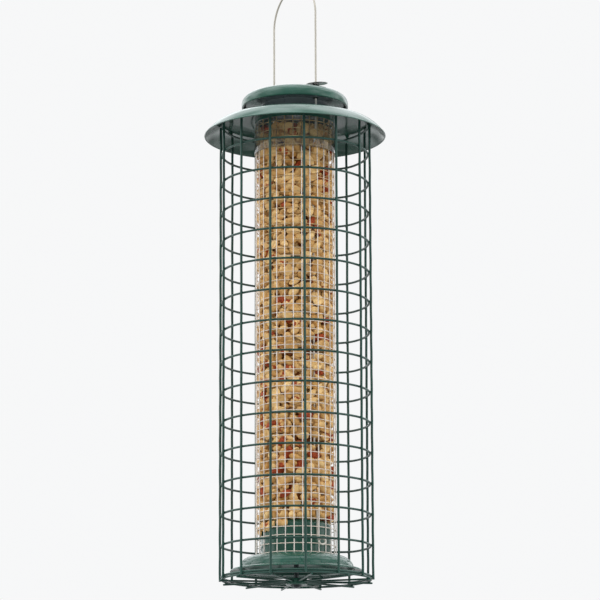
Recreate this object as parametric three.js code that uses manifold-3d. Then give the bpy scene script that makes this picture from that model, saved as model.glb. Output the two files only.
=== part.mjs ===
// Hanging bird feeder: a wire-mesh nut tube inside a welded wire cage, under a round roof,
// with a lid that slides up the hanging wire. Millimetres, +Z up.
// Heights are given from the plane of the cage's bottom ring. The whole feeder is then lowered
// so that the origin is where a hook bears, inside the crown of the hanging wire.
import * as THREE from 'three';
import { mergeVertices } from 'three/addons/utils/BufferGeometryUtils.js';
import Module from 'manifold-3d';

const wasm = await Module();
wasm.setup();

// ---- Driving dimensions ----
const GAP = 0.3; // clearance between touching pieces
const WELD_GAP = 0.15; // clearance between wires that are welded one on the other
const SHEET = 0.8; // thickness of the pressed sheet steel

// Cage
const RING_COUNT = 16;
const RING_PITCH = 31.75; // one and a quarter inches
const RING_WIRE = 2.3; // diameter
const RING_RADIUS = 76.2; // to the wire's centre
const UPRIGHT_COUNT = 14;
const UPRIGHT_STEP = 25.75; // degrees
const UPRIGHT_WIRE = 2.6;
const UPRIGHT_RADIUS = RING_RADIUS + RING_WIRE / 2 + UPRIGHT_WIRE / 2 + GAP;
const FIRST_UPRIGHT = 152.6; // degrees, from +X
const SEAM = 360 - (UPRIGHT_COUNT - 1) * UPRIGHT_STEP; // the narrow gap where the sheet is lapped
const UPRIGHT_TOP = 477.3;
const UPRIGHT_BOTTOM = -3.4;

// Cage floor
const FLOOR_RIM_Z = -(RING_WIRE + WELD_GAP);
const SPOKE_COUNT = 12;
const SPOKE_WIRE = 2.0;
const SPOKE_END = 79.6; // radius that the spokes reach
const FIRST_SPOKE = -22.8; // degrees
const SPOKE_Z = FLOOR_RIM_Z - RING_WIRE / 2 - WELD_GAP - SPOKE_WIRE / 2;
const HUB_RADIUS = 11;
const HUB_TOP = -1.5;
const HUB_BOTTOM = -8;
const HUB_RECESS = 7; // radius of the hollow under the hub that the nut sits in
const HUB_RECESS_TOP = -7.2;

// Nut tube
const TUBE_RADIUS = 41.7; // outside of the mesh
const MESH_DEPTH = 1.0; // both wires of the mesh together
const TUBE_BOTTOM = 21.6;
const TUBE_TOP = 486.5;
const NUTS_RADIUS = 37.6;
const NUTS_TOP = 466;
const SLEEVE_BOTTOM = 444.5;
const SLEEVE_TOP = 477;
const SLEEVE_WALL = 0.7;

// Base
const BELL_TOP = TUBE_BOTTOM - GAP;
const BELL_FOOT = 8.6; // where the dome meets the flange
const BELL_DOME_RADIUS = 59;
const BELL_FLANGE_RADIUS = 68;
const BELL_RIM = 5.4;
const PLUG_RADIUS = 36.6;
const PLUG_TOP = 55.7;
const BOLT_RADIUS = 2.5;
const BOLT_HOLE = BOLT_RADIUS + GAP;
const BOLT_PAST_HUB = 3.2;
const BOLT_HEAD_RADIUS = 6;
const BOLT_HEAD_HEIGHT = 3.2;
const NUT_RADIUS = 5.2; // to its corners
const NUT_HEIGHT = 2.6;

// Roof and collar
const ROOF_RADIUS = 95.6;
const ROOF_FLAT = 64; // radius of its flat middle
const ROOF_FALL = 2.5; // power of the curve from there down to the rim
const ROOF_RIM_Z = 464.6;
const ROOF_TOP_Z = 481.6;
const COLLAR_INNER = TUBE_RADIUS + GAP;
const COLLAR_OUTER = COLLAR_INNER + SHEET;
const COLLAR_FLANGE = COLLAR_OUTER + 6;
const COLLAR_BOTTOM = 477.6;
const COLLAR_TOP = 488;

// Lid
const LID_RADIUS = 56.2;
const LID_RIM_Z = 495.8;
const LID_APEX = 512.6;
const LID_CROWN = 300; // radius of the dome's curve
const LID_SHOULDER = 46.5; // where the dome turns down into the skirt
const LID_SKIRT = 4; // height of the skirt below that turn
const LID_HEM = 1.4; // width of the edge folded in at the rim
const LINER_RADIUS = 52;
const LINER_Z = 498.4;
const LINER_PLUG_RADIUS = 35.5;
const LINER_PLUG_Z = 484;

// Hanging wire
const BAIL_WIRE = 2.1;
const BAIL_RADIUS = 39.3; // from the feeder's axis to each leg
const ARCH_START = 591;
const BAIL_EXIT = 34; // height at which each end passes out through the mesh
const WINDOW_ACROSS = 9; // opening in the mesh that it passes through
const WINDOW_HEIGHT = 13;
const CURL_ACROSS = 4.3; // half the width of the curl at each end
const CURL_UP = 3.2; // half its height
const CURL_SHIFT = 1.1; // how far the curl lies to one side of the leg
const CURL_START = 128; // degrees, where the wire joins the curl
const CURL_TIP = -180; // degrees, where its end lies
const CURL_STEPS = 9;
const ARCH_STEPS = 16;
const GUIDE_HOLE = BAIL_WIRE / 2 + 0.4;
const GUIDE_RADIUS = 2.6;
const GUIDE_HEAD = 4.6; // radius of the flange that holds it under the lid
const LOCK_HOLE = 2.1; // wide enough for the plate to tilt on the wire
const STEM_RADIUS = 3.6;
const STEM_HEIGHT = 2;
const LOCK_ACROSS = 14;
const LOCK_LENGTH = 22.6;
const LOCK_SHIFT = 1.2; // from the plate's hole to its middle
const LOCK_TURN = 56; // degrees from +X to the plate's long axis
const LOCK_TILT = 3.5; // degrees from level, where the plate grips the wire
const CROWN_Z = ARCH_START + BAIL_RADIUS - BAIL_WIRE / 2;

// ---- Materials ----
function paint(colour, roughness, metalness) {
  return new THREE.MeshStandardMaterial({ color: colour, roughness, metalness });
}

const greenWire = paint(0x1e5046, 0.4, 0.1);
const greenSheet = paint(0x234f43, 0.3, 0.1);
const zincWire = paint(0xc9ccc8, 0.35, 0.9);
const steel = paint(0xb5b8b6, 0.3, 1.0);
const darkPlastic = paint(0x1d2422, 0.5, 0.0);
const nut = paint(0xcda569, 0.7, 0.0);
const clear = new THREE.MeshStandardMaterial({
  color: 0xe8f0ee, roughness: 0.1, metalness: 0, transparent: true, opacity: 0.35,
});

// ---- Shape helpers ----
const radians = THREE.MathUtils.degToRad;

function point(x, y) {
  return new THREE.Vector2(x, y);
}

// A solid of revolution about Z from a closed outline of [radius, height] points.
function revolve(outline, segments) {
  const profile = outline.map(([radius, height]) => point(radius, height));
  if (!(profile[0].x === 0 && profile.at(-1).x === 0)) profile.push(profile[0].clone());
  const geometry = new THREE.LatheGeometry(profile, segments);
  return geometry.rotateX(Math.PI / 2);
}

// The rectangular section of a plain ring or tube.
function tubeOutline(inner, outer, bottom, top) {
  return [[inner, bottom], [outer, bottom], [outer, top], [inner, top]];
}

// Points along a quarter of an ellipse, from its flat end to its steep end.
function quarterEllipse(centreRadius, centreHeight, across, up, count) {
  return Array.from({ length: count + 1 }, (_, i) => {
    const angle = (Math.PI / 2) * (1 - i / count);
    return [centreRadius + across * Math.cos(angle), centreHeight + up * Math.sin(angle)];
  });
}

function rod(radius, bottom, top, sides) {
  const geometry = new THREE.CylinderGeometry(radius, radius, top - bottom, sides);
  return geometry.rotateX(Math.PI / 2).translate(0, 0, (bottom + top) / 2);
}

// A route through given points, with one step of the tube for each of its stretches.
class Route extends THREE.Curve {
  constructor(points) {
    super();
    this.points = points;
  }

  getPoint(t) {
    const last = this.points.length - 1;
    const place = t * last;
    const i = Math.min(Math.floor(place + 1e-9), last - 1);
    return this.points[i].clone().lerp(this.points[i + 1], place - i);
  }

  getPointAt(u) {
    return this.getPoint(u);
  }

  getTangentAt(u) {
    const last = this.points.length - 1;
    const i = Math.round(u * last);
    const before = this.points[Math.max(i - 1, 0)];
    const here = this.points[i];
    const after = this.points[Math.min(i + 1, last)];
    const into = here.clone().sub(before).normalize();
    const outOf = after.clone().sub(here).normalize();
    return into.add(outOf).normalize();
  }
}

function wire(points, diameter, sides) {
  const corners = Array.from({ length: sides }, (_, i) => {
    const angle = (2 * Math.PI * i) / sides;
    return point((diameter / 2) * Math.cos(angle), (diameter / 2) * Math.sin(angle));
  });
  return new THREE.ExtrudeGeometry(new THREE.Shape(corners), {
    steps: points.length - 1,
    bevelEnabled: false,
    extrudePath: new Route(points),
  });
}

function toSolid(geometry) {
  const bare = geometry.clone();
  bare.deleteAttribute('normal');
  bare.deleteAttribute('uv');
  const merged = mergeVertices(bare);
  const index = merged.index.array;
  const kept = [];
  for (let i = 0; i < index.length; i += 3) {
    const [a, b, c] = index.subarray(i, i + 3);
    if (a !== b && b !== c && c !== a) kept.push(a, b, c);
  }
  return new wasm.Manifold(new wasm.Mesh({
    numProp: 3,
    vertProperties: new Float32Array(merged.attributes.position.array),
    triVerts: new Uint32Array(kept),
  }));
}

function cut(geometry, cutters) {
  let body = toSolid(geometry);
  for (const cutter of cutters) body = body.subtract(toSolid(cutter));
  const mesh = body.getMesh();
  const result = new THREE.BufferGeometry();
  result.setAttribute('position', new THREE.BufferAttribute(mesh.vertProperties, 3));
  result.setIndex(new THREE.BufferAttribute(mesh.triVerts, 1));
  result.computeVertexNormals();
  return result;
}

const feeder = new THREE.Group();
feeder.position.z = -CROWN_Z;

function add(name, geometry, material) {
  const mesh = new THREE.Mesh(geometry, material);
  mesh.name = name;
  feeder.add(mesh);
  return mesh;
}

function numbered(name, i) {
  return `${name}_${String(i + 1).padStart(2, '0')}`;
}

// ---- Cage ----
// One horizontal wire. Both ends reach across the seam, the second end beside the first, on the
// given side: 1 above it or -1 below it.
function ringGeometry(lapSide) {
  const start = FIRST_UPRIGHT - SEAM;
  const sweep = 360 + SEAM;
  const steps = 24;
  const lap = lapSide * (RING_WIRE + GAP);
  const points = [];
  for (let i = 0; i <= steps; i += 1) {
    const turned = (sweep * i) / steps;
    const lift = THREE.MathUtils.smoothstep(turned, 360 - SEAM * 1.4, 360 - 3) * lap;
    const angle = radians(start + turned);
    points.push(new THREE.Vector3(RING_RADIUS * Math.cos(angle), RING_RADIUS * Math.sin(angle), lift));
  }
  return wire(points, RING_WIRE, 5);
}

function addCage() {
  for (let i = 0; i < RING_COUNT; i += 1) {
    const lapSide = i === RING_COUNT - 1 ? -1 : 1;
    add(numbered('cage_ring', i), ringGeometry(lapSide), greenWire).position.z = i * RING_PITCH;
  }
  for (let i = 0; i < UPRIGHT_COUNT; i += 1) {
    const angle = radians(FIRST_UPRIGHT + i * UPRIGHT_STEP);
    const upright = add(
      numbered('cage_upright', i),
      rod(UPRIGHT_WIRE / 2, UPRIGHT_BOTTOM, UPRIGHT_TOP, 6).rotateZ(Math.PI / 6),
      greenWire,
    );
    upright.position.set(UPRIGHT_RADIUS * Math.cos(angle), UPRIGHT_RADIUS * Math.sin(angle), 0);
    upright.rotation.z = angle;
  }
}

// ---- Cage floor ----
function addFloor() {
  const steps = 26;
  const opening = 0.4; // degrees left open at the rim's butt joint
  const rim = Array.from({ length: steps + 1 }, (_, i) => {
    const angle = radians(FIRST_UPRIGHT + opening / 2 + ((360 - opening) * i) / steps);
    return new THREE.Vector3(RING_RADIUS * Math.cos(angle), RING_RADIUS * Math.sin(angle), 0);
  });
  add('floor_rim', wire(rim, RING_WIRE, 6), greenWire).position.z = FLOOR_RIM_Z;
  for (let i = 0; i < SPOKE_COUNT; i += 1) {
    const spoke = add(
      numbered('floor_spoke', i),
      rod(SPOKE_WIRE / 2, HUB_RADIUS + GAP, SPOKE_END, 6).rotateY(Math.PI / 2),
      greenWire,
    );
    spoke.position.z = SPOKE_Z;
    spoke.rotation.z = radians(FIRST_SPOKE + (360 / SPOKE_COUNT) * i);
  }
  add('floor_hub', revolve([
    [BOLT_HOLE, HUB_RECESS_TOP],
    [HUB_RECESS, HUB_RECESS_TOP],
    [HUB_RECESS, HUB_BOTTOM],
    [HUB_RADIUS, HUB_BOTTOM],
    [HUB_RADIUS, HUB_TOP],
    [BOLT_HOLE, HUB_TOP],
  ], 24), greenSheet);
}

// ---- Base: domed seed guard, plug inside the tube, through bolt and nut ----
function bellGeometry() {
  const dome = quarterEllipse(
    TUBE_RADIUS + 1, BELL_FOOT, BELL_DOME_RADIUS - TUBE_RADIUS - 1, BELL_TOP - BELL_FOOT, 5,
  );
  const inside = quarterEllipse(
    TUBE_RADIUS + 1, BELL_FOOT, BELL_DOME_RADIUS - TUBE_RADIUS - 1 - SHEET,
    BELL_TOP - BELL_FOOT - SHEET, 4,
  ).reverse();
  return revolve([
    [BOLT_HOLE, BELL_TOP - SHEET],
    [BOLT_HOLE, BELL_TOP],
    ...dome,
    [BELL_FLANGE_RADIUS - 1.6, BELL_FOOT - 1.2],
    [BELL_FLANGE_RADIUS, BELL_RIM + 1.4],
    [BELL_FLANGE_RADIUS, BELL_RIM],
    [BELL_FLANGE_RADIUS - SHEET, BELL_RIM],
    [BELL_FLANGE_RADIUS - 2, BELL_FOOT - 1.2 - SHEET],
    [BELL_DOME_RADIUS - SHEET, BELL_FOOT - SHEET],
    ...inside,
  ].reverse(), 36);
}

function plugGeometry() {
  const bottom = BELL_TOP + GAP;
  return revolve([
    [PLUG_RADIUS - SHEET, bottom],
    [PLUG_RADIUS, bottom],
    [PLUG_RADIUS, PLUG_TOP - 4],
    [PLUG_RADIUS - 1.2, PLUG_TOP - 1.2],
    [PLUG_RADIUS - 4, PLUG_TOP],
    [BOLT_HOLE, PLUG_TOP],
    [BOLT_HOLE, PLUG_TOP - SHEET],
    [PLUG_RADIUS - 4, PLUG_TOP - SHEET],
    [PLUG_RADIUS - SHEET - 1, PLUG_TOP - 1.9],
    [PLUG_RADIUS - SHEET, PLUG_TOP - 4],
  ], 30);
}

function addBase() {
  add('base_bell', bellGeometry(), greenSheet);
  add('tube_plug', plugGeometry(), greenSheet);
  const headFoot = PLUG_TOP + GAP;
  const boltEnd = HUB_BOTTOM - BOLT_PAST_HUB;
  add('base_bolt', revolve([
    [0, boltEnd],
    [BOLT_RADIUS - 0.5, boltEnd],
    [BOLT_RADIUS, boltEnd + 0.5],
    [BOLT_RADIUS, headFoot],
    [BOLT_HEAD_RADIUS, headFoot],
    [BOLT_HEAD_RADIUS * 0.87, headFoot + BOLT_HEAD_HEIGHT * 0.56],
    [BOLT_HEAD_RADIUS * 0.43, headFoot + BOLT_HEAD_HEIGHT * 0.94],
    [0, headFoot + BOLT_HEAD_HEIGHT],
  ], 14), steel);
  const hexagon = new THREE.Shape(Array.from({ length: 6 }, (_, i) => (
    point(NUT_RADIUS * Math.cos((Math.PI * i) / 3), NUT_RADIUS * Math.sin((Math.PI * i) / 3))
  )));
  hexagon.holes.push(new THREE.Path().absarc(0, 0, BOLT_HOLE, 0, 2 * Math.PI, true));
  const baseNut = new THREE.ExtrudeGeometry(hexagon, {
    depth: NUT_HEIGHT, bevelEnabled: false, curveSegments: 12,
  });
  add('base_nut', baseNut, steel).position.z = HUB_RECESS_TOP - GAP - NUT_HEIGHT;
}

// ---- Nut tube ----
function addTube() {
  const windows = [-1, 1].map((side) => (
    new THREE.BoxGeometry(12, WINDOW_ACROSS, WINDOW_HEIGHT).translate(side * TUBE_RADIUS, 0, BAIL_EXIT)
  ));
  const mesh = revolve(tubeOutline(TUBE_RADIUS - MESH_DEPTH, TUBE_RADIUS, TUBE_BOTTOM, TUBE_TOP), 36);
  add('mesh_tube', cut(mesh, windows), zincWire);
  const sleeveInner = TUBE_RADIUS + GAP;
  const sleeve = tubeOutline(sleeveInner, sleeveInner + SLEEVE_WALL, SLEEVE_BOTTOM, SLEEVE_TOP);
  add('clear_sleeve', revolve(sleeve, 36), clear);
  const nutsBottom = PLUG_TOP + 4;
  add('peanut_fill', revolve([
    [0, nutsBottom], [NUTS_RADIUS, nutsBottom], [NUTS_RADIUS, NUTS_TOP - 3], [NUTS_RADIUS - 4, NUTS_TOP],
    [0, NUTS_TOP],
  ], 24), nut);
}

// ---- Roof ----
function roofHeight(radius) {
  const out = (radius - ROOF_FLAT) / (ROOF_RADIUS - ROOF_FLAT);
  return ROOF_TOP_Z - (ROOF_TOP_Z - ROOF_RIM_Z - SHEET) * out ** ROOF_FALL;
}

function roofGeometry() {
  const hole = COLLAR_OUTER + GAP;
  const bands = 7;
  const radii = Array.from({ length: bands + 1 }, (_, i) => (
    ROOF_FLAT + ((ROOF_RADIUS - ROOF_FLAT) * i) / bands
  ));
  return revolve([
    [hole, ROOF_TOP_Z],
    ...radii.map((radius) => [radius, roofHeight(radius)]),
    ...radii.reverse().map((radius) => [radius, roofHeight(radius) - SHEET]),
    [hole, ROOF_TOP_Z - SHEET],
  ].reverse(), 40);
}

function addRoof() {
  add('roof_baffle', roofGeometry(), greenSheet);
  const flange = ROOF_TOP_Z + GAP;
  add('tube_collar', revolve([
    [COLLAR_INNER, COLLAR_BOTTOM],
    [COLLAR_OUTER, COLLAR_BOTTOM],
    [COLLAR_OUTER, flange],
    [COLLAR_FLANGE, flange],
    [COLLAR_FLANGE, flange + SHEET],
    [COLLAR_OUTER + 1, flange + SHEET],
    [COLLAR_OUTER, flange + SHEET + 1],
    [COLLAR_OUTER, COLLAR_TOP - 1.6],
    [COLLAR_OUTER + 0.6, COLLAR_TOP - 0.8],
    [COLLAR_OUTER, COLLAR_TOP],
    [COLLAR_INNER, COLLAR_TOP],
  ], 36), greenSheet);
}

// ---- Lid ----
function domeHeight(radius, drop) {
  return LID_APEX - drop - (radius * radius) / (2 * LID_CROWN);
}

function lidOutline() {
  const outside = [];
  const inside = [];
  for (const radius of [0, LID_SHOULDER * 0.5, LID_SHOULDER * 0.8, LID_SHOULDER]) {
    outside.push([radius, domeHeight(radius, 0)]);
    inside.push([radius, domeHeight(radius, SHEET)]);
  }
  const shoulder = domeHeight(LID_SHOULDER, 0);
  const skirt = LID_RIM_Z + LID_SKIRT;
  const across = LID_RADIUS - LID_SHOULDER;
  const turn = quarterEllipse(LID_SHOULDER, skirt, across, shoulder - skirt, 4).slice(1);
  const insideTurn = quarterEllipse(
    LID_SHOULDER, skirt, across - SHEET, shoulder - skirt - SHEET, 3,
  ).slice(1);
  return [
    ...outside, ...turn,
    [LID_RADIUS, LID_RIM_Z], [LID_RADIUS - LID_HEM, LID_RIM_Z],
    [LID_RADIUS - LID_HEM, LID_RIM_Z + 1], [LID_RADIUS - SHEET, LID_RIM_Z + LID_HEM],
    ...insideTurn.reverse(), ...inside.reverse(),
  ];
}

function guideHoles(radius) {
  return [-1, 1].map((side) => (
    rod(radius, LINER_Z - 10, LID_APEX + 5, 12).translate(side * BAIL_RADIUS, 0, 0)
  ));
}

// A bush held between the liner and the dome by its flange, with its neck up through the dome.
function guideGeometry() {
  const flangeTop = domeHeight(BAIL_RADIUS + GUIDE_HEAD, SHEET) - GAP;
  const neckTop = domeHeight(BAIL_RADIUS, 0) + GAP;
  return revolve([
    [GUIDE_HOLE, LINER_Z - 1],
    [GUIDE_RADIUS, LINER_Z - 1],
    [GUIDE_RADIUS, flangeTop - 1],
    [GUIDE_HEAD, flangeTop - 1],
    [GUIDE_HEAD, flangeTop],
    [GUIDE_RADIUS, flangeTop],
    [GUIDE_RADIUS, neckTop],
    [GUIDE_HOLE, neckTop],
  ], 14);
}

function addLid() {
  const holes = guideHoles(GUIDE_RADIUS + GAP);
  add('lid_dome', cut(revolve(lidOutline().reverse(), 40), holes), greenSheet);
  add('lid_liner', cut(revolve([
    [0, LINER_PLUG_Z],
    [LINER_PLUG_RADIUS - 2, LINER_PLUG_Z],
    [LINER_PLUG_RADIUS, LINER_PLUG_Z + 2],
    [LINER_PLUG_RADIUS, LINER_Z],
    [LINER_RADIUS, LINER_Z],
    [LINER_RADIUS, LINER_Z + SHEET],
    [LINER_PLUG_RADIUS - SHEET, LINER_Z + SHEET],
    [LINER_PLUG_RADIUS - SHEET, LINER_PLUG_Z + 2.2],
    [LINER_PLUG_RADIUS - 2.4, LINER_PLUG_Z + SHEET],
    [0, LINER_PLUG_Z + SHEET],
  ], 30), holes), greenSheet);
  add('lid_guide_front', guideGeometry(), darkPlastic).position.x = BAIL_RADIUS;
  add('lid_guide_rear', guideGeometry(), darkPlastic).position.x = -BAIL_RADIUS;

  const stemFoot = domeHeight(BAIL_RADIUS - STEM_RADIUS, 0) + GAP;
  const stemTop = stemFoot + STEM_HEIGHT;
  const stem = tubeOutline(GUIDE_HOLE, STEM_RADIUS, stemFoot, stemTop);
  add('lock_stem', revolve(stem, 14), darkPlastic).position.x = BAIL_RADIUS;

  // The plate stands tilted on one edge of the stem.
  const plate = new THREE.Shape();
  plate.absellipse(LOCK_SHIFT, 0, LOCK_LENGTH / 2, LOCK_ACROSS / 2, 0, 2 * Math.PI, false, 0);
  plate.holes.push(new THREE.Path().absarc(0, 0, LOCK_HOLE, 0, 2 * Math.PI, true));
  const plateGeometry = new THREE.ExtrudeGeometry(plate, {
    depth: 1, bevelEnabled: false, curveSegments: 16,
  }).translate(STEM_RADIUS, 0, 0).rotateY(-radians(LOCK_TILT)).translate(-STEM_RADIUS, 0, stemTop + GAP);
  const lockPlate = add('lock_plate', plateGeometry, steel);
  lockPlate.position.x = BAIL_RADIUS;
  lockPlate.rotation.z = radians(LOCK_TURN);
}

// ---- Hanging wire ----
// The front end, from its curl outside the mesh, in through the mesh and up to the arch.
function bailEnd() {
  const outside = TUBE_RADIUS + BAIL_WIRE / 2 + 1.9;
  const curl = Array.from({ length: CURL_STEPS + 1 }, (_, i) => {
    const angle = radians(CURL_TIP + ((CURL_START - CURL_TIP) * i) / CURL_STEPS);
    return new THREE.Vector3(
      outside + 1.2 * (1 - i / CURL_STEPS),
      CURL_SHIFT + CURL_ACROSS * Math.cos(angle),
      BAIL_EXIT - 1.5 + CURL_UP * Math.sin(angle),
    );
  });
  return [
    ...curl,
    new THREE.Vector3(outside - 1.2, 0, BAIL_EXIT + 0.5),
    new THREE.Vector3(TUBE_RADIUS - 0.4, 0, BAIL_EXIT + 0.7),
    new THREE.Vector3(BAIL_RADIUS + 0.6, 0, BAIL_EXIT + 2),
    new THREE.Vector3(BAIL_RADIUS, 0, BAIL_EXIT + 4.2),
  ];
}

function bailGeometry() {
  const front = bailEnd();
  const rear = front.map((p) => new THREE.Vector3(-p.x, -p.y, p.z)).reverse();
  const arch = Array.from({ length: ARCH_STEPS + 1 }, (_, i) => {
    const angle = (Math.PI * i) / ARCH_STEPS;
    return new THREE.Vector3(
      BAIL_RADIUS * Math.cos(angle), 0, ARCH_START + BAIL_RADIUS * Math.sin(angle),
    );
  });
  return wire([...front, ...arch, ...rear], BAIL_WIRE, 6);
}

addCage();
addFloor();
addBase();
addTube();
addRoof();
addLid();
add('bail_wire', bailGeometry(), zincWire);

export default feeder;
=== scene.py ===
import math

import bmesh
import bpy
import numpy as np
from mathutils import Matrix, Vector


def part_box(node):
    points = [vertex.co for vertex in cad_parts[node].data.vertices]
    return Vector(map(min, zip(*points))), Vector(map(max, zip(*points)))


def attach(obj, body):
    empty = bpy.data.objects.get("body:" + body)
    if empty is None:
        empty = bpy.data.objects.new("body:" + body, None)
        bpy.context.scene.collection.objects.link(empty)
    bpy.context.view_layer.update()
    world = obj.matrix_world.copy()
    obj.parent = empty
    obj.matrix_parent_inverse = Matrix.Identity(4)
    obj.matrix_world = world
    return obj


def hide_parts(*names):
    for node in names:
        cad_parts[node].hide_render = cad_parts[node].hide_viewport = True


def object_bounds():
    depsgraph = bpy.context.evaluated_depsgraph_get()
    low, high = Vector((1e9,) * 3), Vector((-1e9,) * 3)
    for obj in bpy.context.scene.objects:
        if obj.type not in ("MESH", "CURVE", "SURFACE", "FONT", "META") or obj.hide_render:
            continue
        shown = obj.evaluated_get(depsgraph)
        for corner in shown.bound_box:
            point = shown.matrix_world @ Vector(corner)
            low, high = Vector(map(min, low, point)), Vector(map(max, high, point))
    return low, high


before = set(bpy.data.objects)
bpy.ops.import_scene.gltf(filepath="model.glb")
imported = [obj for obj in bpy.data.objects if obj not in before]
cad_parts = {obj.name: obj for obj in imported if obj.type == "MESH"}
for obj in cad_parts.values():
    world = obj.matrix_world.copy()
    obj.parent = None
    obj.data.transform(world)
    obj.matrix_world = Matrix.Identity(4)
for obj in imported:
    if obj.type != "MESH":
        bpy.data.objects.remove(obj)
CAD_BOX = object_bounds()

MM = 0.001
BODY, LID, LOCK = "feeder_body", "lid", "lock"
SHEET = 0.8 * MM  # thickness of the pressed sheet steel

# The camera, in the row frame: it stands below the feeder and looks up at it.
LENS = 170.6  # on a 36 mm sensor
AZIMUTH = math.radians(56)
DISTANCE = 2.9003  # from the feeder's axis
BELOW_FLOOR = 0.3153  # below the cage's bottom ring
PITCH = math.radians(11.775)
YAW = math.radians(0.0934)
ROLL = math.radians(0.2)


# ---- Measurements from the frame ----
def extent(node):
    """Outer radius, lowest and highest point of a node round about the feeder's axis."""
    low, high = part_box(node)
    return high.x, low.z, high.z


RING_GAUGE = 2.3 * MM
UPRIGHT_GAUGE = 2.6 * MM
SPOKE_GAUGE = 2.0 * MM
RING_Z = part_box("cage_ring_01")[0].z + RING_GAUGE / 2
UPRIGHTS, RINGS, SPOKES = 14, 16, 12
BOLT_BORE = 2.8 * MM  # radius of the hole that the base's bolt runs through
PRESSED = 0.05 * MM  # how far crossing wires sink together at a weld
UPRIGHT_WELD = (0.7 * MM, 1.6 * MM, 1.4 * MM)  # half sizes outward, sidewise and up
RIM_WELD = (1.5 * MM, 1.4 * MM, 0.6 * MM)
CAGE_WAVE = 0.12 * MM  # how far the cage's wires stray from true


def centre(node):
    low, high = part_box(node)
    return (low + high) / 2


def bearing(node):
    """Direction of a node from the feeder's axis, in radians from +X."""
    c = centre(node)
    return math.atan2(c.y, c.x)


UPRIGHT_RADIUS = math.hypot(*centre("cage_upright_01").xy) - 0.2 * MM
RING_RADIUS = UPRIGHT_RADIUS - (RING_GAUGE + UPRIGHT_GAUGE) / 2 + PRESSED


# ---- Mesh building ----
class Shape:
    """Points and faces gathered from several closed forms."""

    def __init__(self):
        self.points, self.faces, self.count = [], [], 0

    def add(self, points, faces):
        points = np.asarray(points, float)
        self.points.append(points)
        self.faces.extend([[i + self.count for i in face] for face in faces])
        self.count += len(points)
        return self

    def mesh(self, name):
        data = bpy.data.meshes.new(name)
        data.from_pydata(np.concatenate(self.points).tolist(), [], self.faces)
        return data


def piece(name, shape, body, material, nodes=(), sharp=35):
    """A visible piece from a Shape, from the points and faces of one form, or from a mesh."""
    if isinstance(shape, tuple):
        shape = Shape().add(*shape)
    data = shape.mesh(name) if isinstance(shape, Shape) else shape
    bm = bmesh.new()
    bm.from_mesh(data)
    bmesh.ops.recalc_face_normals(bm, faces=bm.faces)
    for face in bm.faces:
        face.smooth = True
    bm.to_mesh(data)
    bm.free()
    data.set_sharp_from_angle(angle=math.radians(sharp))
    data.materials.append(material)
    obj = bpy.data.objects.new(name, data)
    bpy.context.scene.collection.objects.link(obj)
    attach(obj, body)
    if nodes:
        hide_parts(*nodes)
    return obj


def grid(rings, sides, closed=False):
    """Faces that join each ring of points to the next, and the last to the first if closed."""
    faces = []
    for i in range(rings if closed else rings - 1):
        a, b = i * sides, (i + 1) % rings * sides
        for j in range(sides):
            k = (j + 1) % sides
            faces.append([a + j, a + k, b + k, b + j])
    return faces


def tube(route, gauge, sides=12):
    """A round wire along a route, its ends cut square and their edges broken."""
    route = np.asarray(route, float)
    radius = gauge / 2
    tangent = np.gradient(route, axis=0)
    tangent /= np.linalg.norm(tangent, axis=1)[:, None]
    across = np.zeros_like(route)
    start = np.cross(tangent[0], [0, 0, 1.0])
    if np.linalg.norm(start) < 0.1:
        start = np.cross(tangent[0], [1.0, 0, 0])
    across[0] = start / np.linalg.norm(start)
    for i in range(1, len(route)):
        v = across[i - 1] - tangent[i] * np.dot(across[i - 1], tangent[i])
        across[i] = v / np.linalg.norm(v)
    up = np.cross(tangent, across)
    angle = around(sides)
    cos, sin = np.cos(angle)[None, :, None], np.sin(angle)[None, :, None]
    circle = cos * across[:, None] + sin * up[:, None]
    rings = route[:, None] + radius * circle
    cut = 0.25 * radius
    first = route[0] - tangent[0] * cut + circle[0] * (radius - cut)
    last = route[-1] + tangent[-1] * cut + circle[-1] * (radius - cut)
    rings = np.concatenate([first[None], rings, last[None]])
    count = len(rings)
    ends = [list(range(sides - 1, -1, -1)), list(range((count - 1) * sides, count * sides))]
    return rings.reshape(-1, 3), grid(count, sides) + ends


def around(count):
    """That many angles, even over a full turn."""
    return np.linspace(0, 2 * math.pi, count, endpoint=False)


def polar(radius, angle):
    return radius * math.cos(angle), radius * math.sin(angle)


def arc(radius, height, start, sweep, steps):
    """Points of a level arc about the feeder's axis."""
    angle = start + sweep * np.linspace(0, 1, steps + 1)
    return np.stack([radius * np.cos(angle), radius * np.sin(angle), np.full_like(angle, height)], 1)


def smooth(t):
    """From 0 to 1 as t does, with a level start and end."""
    return t * t * (3 - 2 * t)


def rounded(line, radius, steps=5, closed=False):
    """The line with its corners rounded; radius is one for all corners, or one for each point."""
    line = [np.array(p, float) for p in line]
    count = len(line)
    radii = [radius] * count if np.isscalar(radius) else list(radius)
    result = []
    for i, here in enumerate(line):
        if not closed and i in (0, count - 1):
            result.append(here)
            continue
        before, after = line[i - 1], line[(i + 1) % count]
        into, out = before - here, after - here
        room = min(np.linalg.norm(into), np.linalg.norm(out)) * 0.49
        into, out = into / np.linalg.norm(into), out / np.linalg.norm(out)
        half = math.acos(max(-1, min(1, float(np.dot(into, out))))) / 2
        if half > math.radians(88) or radii[i] <= 0:
            result.append(here)
            continue
        reach = min(radii[i] / math.tan(half), room)
        a, b = here + into * reach, here + out * reach
        for t in np.linspace(0, 1, steps + 1):
            result.append((1 - t) ** 2 * a + 2 * t * (1 - t) * here + t ** 2 * b)
    return np.array(result)


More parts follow.
